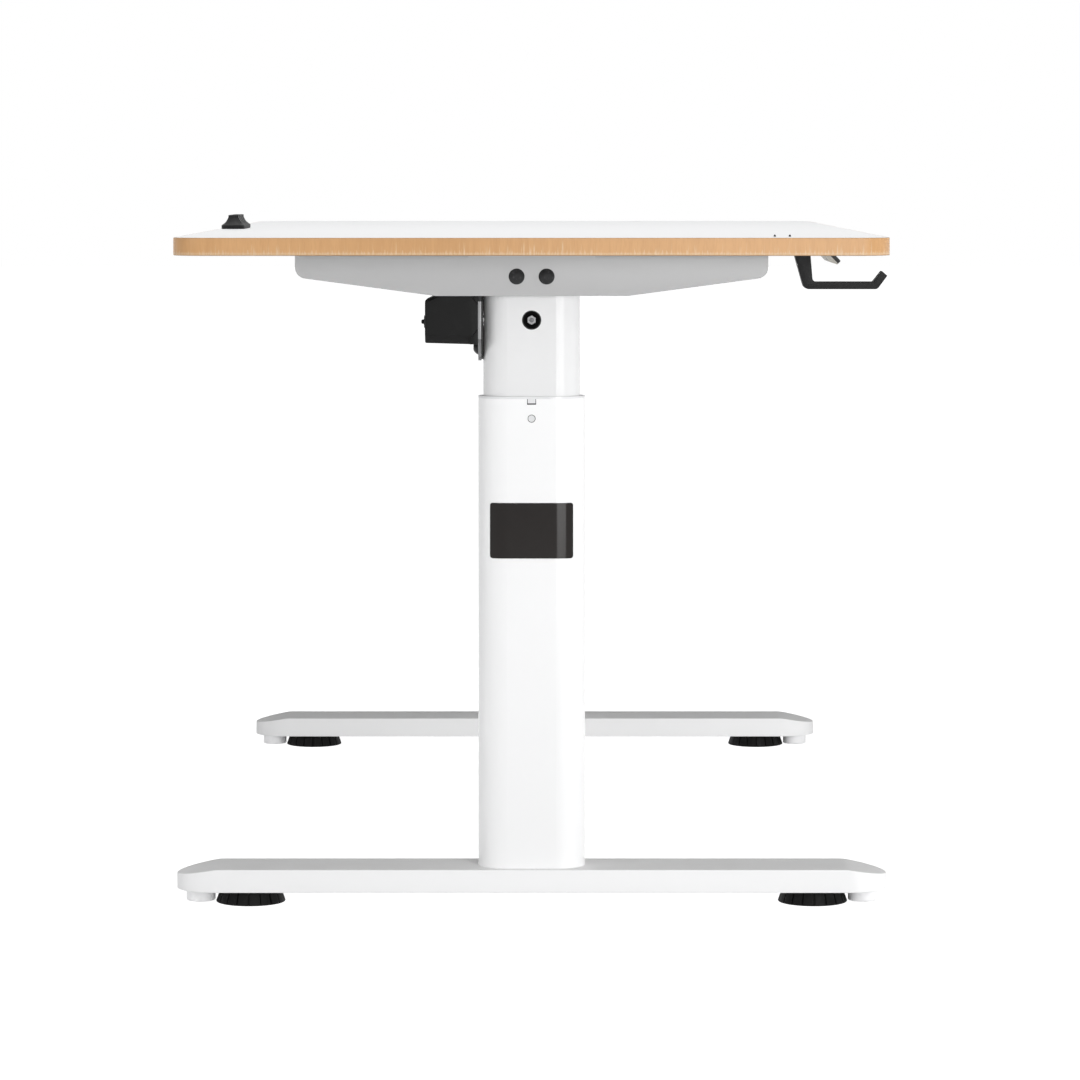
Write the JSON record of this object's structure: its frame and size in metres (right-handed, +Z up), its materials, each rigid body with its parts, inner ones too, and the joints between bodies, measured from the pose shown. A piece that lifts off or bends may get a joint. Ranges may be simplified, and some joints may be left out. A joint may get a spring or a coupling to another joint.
{
  "type": "height adjustable standing desk",
  "caption": "Rectangular work desk on two telescopic columns with long feet, raised by a gear motor, a cross shaft and lead screws; handset, cable strip and bag hook",
  "frame": {"origin": "centre of the footprint on the floor", "axes": "+X along the desktop to the sitter's right, +Y to the rear, +Z up; the sitter is at -Y"},
  "size_m": [1.5, 0.7715, 0.7266],
  "materials": {
    "white_steel": "powder coated white, fine texture",
    "bright_steel": "zinc plated",
    "dark_steel": "black zinc screw heads",
    "white_plastic": "fine matt grain",
    "black_plastic": "fine matt grain",
    "grey_plastic": "matt light grey",
    "label_film": "blank glossy film",
    "pad_rubber": "ribbed black",
    "gear_steel": "machined",
    "bronze": "turned",
    "motor_black": "satin black",
    "core_board": "pressed wood board",
    "laminate": "satin white laminate",
    "edge_wood": "light streaked veneer",
    "circuit": "solder mask",
    "key_plastic": "light grey keys"
  },
  "bodies": {
    "base": {"foot_left": "white_steel", "foot_right": "white_steel", "sole_plates": "bright_steel", "end_glides": "white_plastic", "foot_bolts": "bright_steel", "column_bases": "bright_steel", "outer_column_left": "white_steel", "outer_column_right": "white_steel", "collar_left": "white_plastic", "collar_right": "white_plastic", "drive_nuts": "bronze", "blank_plate": "label_film"},
    "leveller_front_left": {"leveller_front_left": "pad_rubber"},
    "leveller_front_right": {"leveller_front_right": "pad_rubber"},
    "leveller_rear_left": {"leveller_rear_left": "pad_rubber"},
    "leveller_rear_right": {"leveller_rear_right": "pad_rubber"},
    "lift": {"desktop_core": "core_board", "top_laminate": "laminate", "edge_band": "edge_wood", "inner_column_left": "white_steel", "inner_column_right": "white_steel", "slide_shoes": "white_plastic", "head_left": "white_steel", "head_right": "white_steel", "rail_front": "white_steel", "rail_rear": "white_steel", "rail_screws": "dark_steel", "side_bracket_left": "white_steel", "side_bracket_right": "white_steel", "bracket_bolts": "dark_steel", "desktop_screws": "dark_steel", "gear_housing_left": "black_plastic", "gear_housing_right": "black_plastic", "screw_bearings": "bright_steel", "shaft_bushes": "black_plastic", "motor_plate": "bright_steel", "motor_spacers": "black_plastic", "motor_case": "motor_black", "motor_core": "gear_steel", "motor_screws": "dark_steel", "control_box": "black_plastic", "control_lid": "black_plastic", "circuit_board": "circuit", "socket_strip": "black_plastic", "handset_back": "grey_plastic", "handset_front": "black_plastic", "bag_hook": "black_plastic", "hook_screws": "dark_steel", "cable_strip": "black_plastic"},
    "screw_left": {"lead_screw_left": "gear_steel", "screw_gear_left": "gear_steel"},
    "screw_right": {"lead_screw_right": "gear_steel", "screw_gear_right": "gear_steel"},
    "shaft": {"cross_shaft": "gear_steel", "cross_pinions": "gear_steel"},
    "motor_output": {"motor_pinion": "gear_steel"},
    "key_up": {"key_up": "key_plastic"},
    "key_down": {"key_down": "key_plastic"},
    "key_memory_1": {"key_memory_1": "key_plastic"},
    "key_memory_2": {"key_memory_2": "key_plastic"}
  },
  "joints": [
    {"name": "lift", "type": "slide", "parent": "base", "child": "lift", "axis": [0, 0, 1], "range_m": [0, 0.38]},
    {"name": "screw_left_turn", "type": "hinge", "parent": "lift", "child": "screw_left", "pos_m": [-0.65, 0, 0.6214], "axis": [0, 0, 1], "continuous": true},
    {"name": "screw_right_turn", "type": "hinge", "parent": "lift", "child": "screw_right", "pos_m": [0.65, 0, 0.6214], "axis": [0, 0, 1], "continuous": true},
    {"name": "shaft_turn", "type": "hinge", "parent": "lift", "child": "shaft", "pos_m": [0, 0, 0.6214], "axis": [1, 0, 0], "continuous": true},
    {"name": "motor_turn", "type": "hinge", "parent": "lift", "child": "motor_output", "pos_m": [-0.65, 0.03, 0.6214], "axis": [0, 1, 0], "continuous": true},
    {"name": "leveller_front_left_screw", "type": "slide", "parent": "base", "child": "leveller_front_left", "axis": [0, 0, -1], "range_m": [0, 0.01]},
    {"name": "leveller_front_right_screw", "type": "slide", "parent": "base", "child": "leveller_front_right", "axis": [0, 0, -1], "range_m": [0, 0.01]},
    {"name": "leveller_rear_left_screw", "type": "slide", "parent": "base", "child": "leveller_rear_left", "axis": [0, 0, -1], "range_m": [0, 0.01]},
    {"name": "leveller_rear_right_screw", "type": "slide", "parent": "base", "child": "leveller_rear_right", "axis": [0, 0, -1], "range_m": [0, 0.01]},
    {"name": "key_up_press", "type": "slide", "parent": "lift", "child": "key_up", "axis": [0, 0.7314, -0.682], "range_m": [0, 0.0008], "stiffness_N_per_m": 1200, "springref_m": -0.0006},
    {"name": "key_down_press", "type": "slide", "parent": "lift", "child": "key_down", "axis": [0, 0.7314, -0.682], "range_m": [0, 0.0008], "stiffness_N_per_m": 1200, "springref_m": -0.0006},
    {"name": "key_memory_1_press", "type": "slide", "parent": "lift", "child": "key_memory_1", "axis": [0, 0.7314, -0.682], "range_m": [0, 0.0008], "stiffness_N_per_m": 1200, "springref_m": -0.0006},
    {"name": "key_memory_2_press", "type": "slide", "parent": "lift", "child": "key_memory_2", "axis": [0, 0.7314, -0.682], "range_m": [0, 0.0008], "stiffness_N_per_m": 1200, "springref_m": -0.0006}
  ],
  "couplings": [
    {"joint": "screw_left_turn", "follows": "lift", "rad_per_m": 785.4},
    {"joint": "screw_right_turn", "follows": "lift", "rad_per_m": 785.4},
    {"joint": "shaft_turn", "follows": "lift", "rad_per_m": 1570.8},
    {"joint": "motor_turn", "follows": "lift", "rad_per_m": 1570.8}
  ]
}
